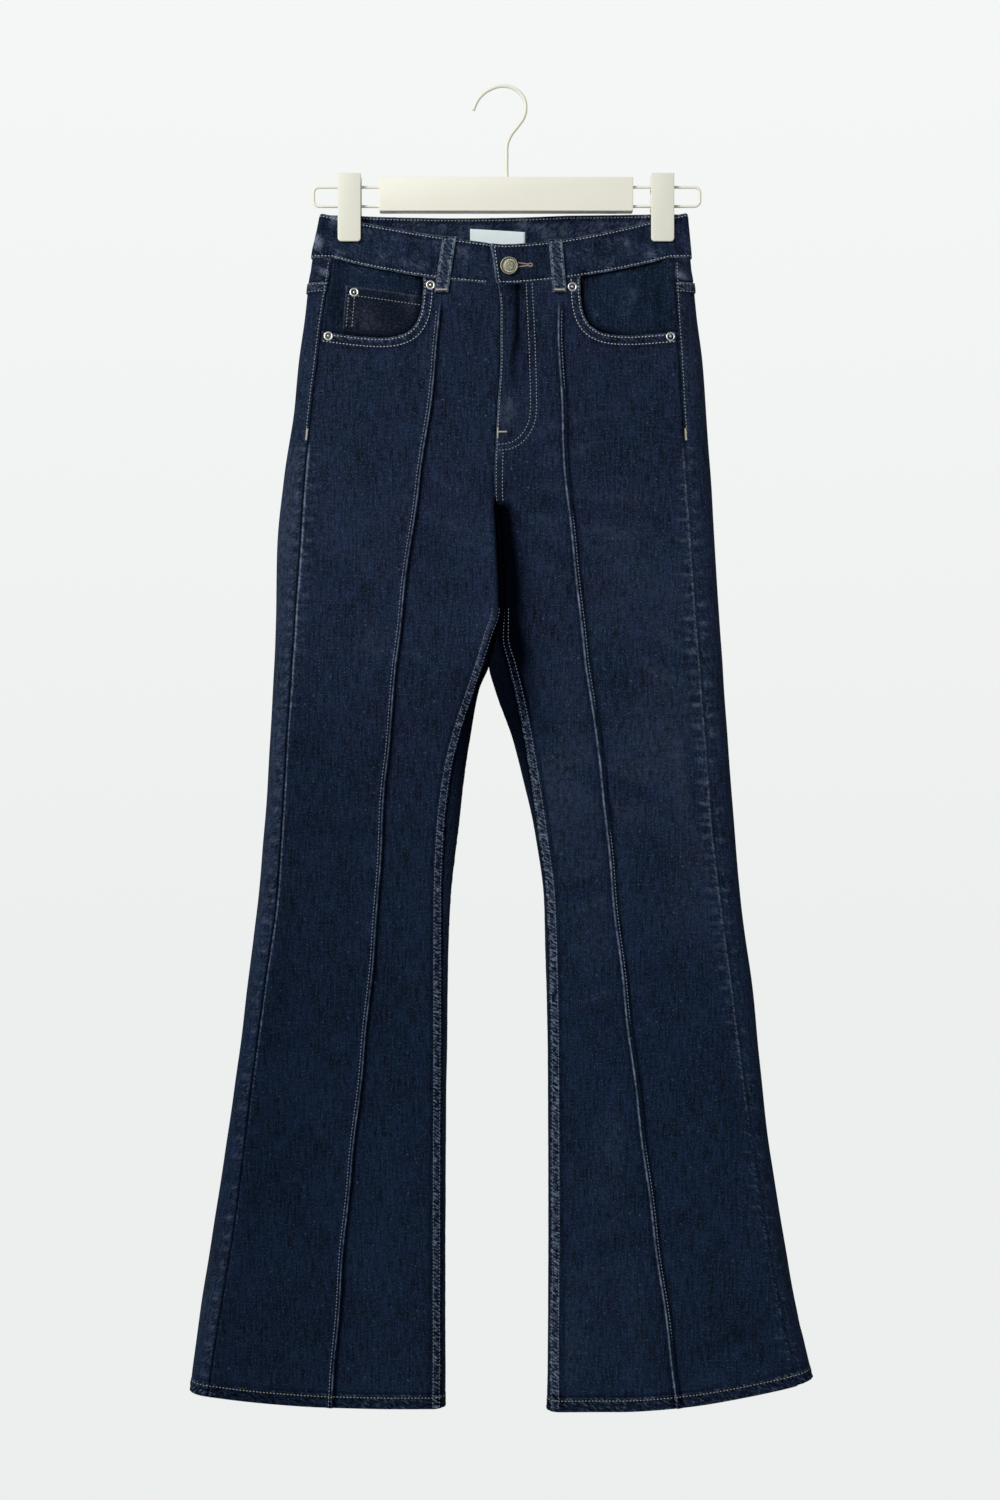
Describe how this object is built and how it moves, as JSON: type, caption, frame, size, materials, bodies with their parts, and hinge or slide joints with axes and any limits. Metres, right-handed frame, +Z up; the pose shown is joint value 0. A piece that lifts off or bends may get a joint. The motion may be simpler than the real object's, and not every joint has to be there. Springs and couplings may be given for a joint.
{
  "type": "bootcut jeans hanging on a clip hanger",
  "caption": "Bootcut denim jeans with a sewn crease down each front, hung by the waistband from a bar hanger with sliding clips.",
  "frame": {"origin": "underside of the hook's crown, where the hanger rests on a rail", "axes": "+Z up, the front of the jeans faces -Y, +X to the right of someone facing the front"},
  "size_m": [0.586, 0.0345, 1.2445],
  "materials": {
    "denim": "rinsed indigo twill, matt, with a paler weft",
    "nickel": "nickel-plated rivets",
    "aged_silver": "antiqued silver button",
    "zip_metal": "brass zip slider",
    "woven_label": "bare white woven satin label",
    "lacquer": "cream lacquer on wood, wire and clips"
  },
  "bodies": {
    "root": {"front_left": "denim", "front_right": "denim", "pocket_facing_left": "denim", "pocket_facing_right": "denim", "coin_pocket": "denim", "back_left": "denim", "back_right": "denim", "yoke_left": "denim", "yoke_right": "denim", "waistband": "denim", "belt_loop_front_left": "denim", "belt_loop_front_right": "denim", "belt_loop_side_left": "denim", "belt_loop_side_right": "denim", "belt_loop_centre_back": "denim", "back_pocket_left": "denim", "back_pocket_right": "denim", "zip_tape": "denim", "fly_shield": "denim", "zip_slider": "zip_metal", "rivet_left_inner": "nickel", "rivet_left_outer": "nickel", "rivet_coin": "nickel", "rivet_right_inner": "nickel", "rivet_right_outer": "nickel", "button": "aged_silver", "label": "woven_label", "hanger_bar": "lacquer", "hanger_wire_left": "lacquer", "hanger_wire_right": "lacquer", "hanger_hook": "lacquer", "clip_left_front": "lacquer", "clip_left_back": "lacquer", "clip_left_core": "lacquer", "clip_right_front": "lacquer", "clip_right_back": "lacquer", "clip_right_core": "lacquer"}
  },
  "joints": []
}
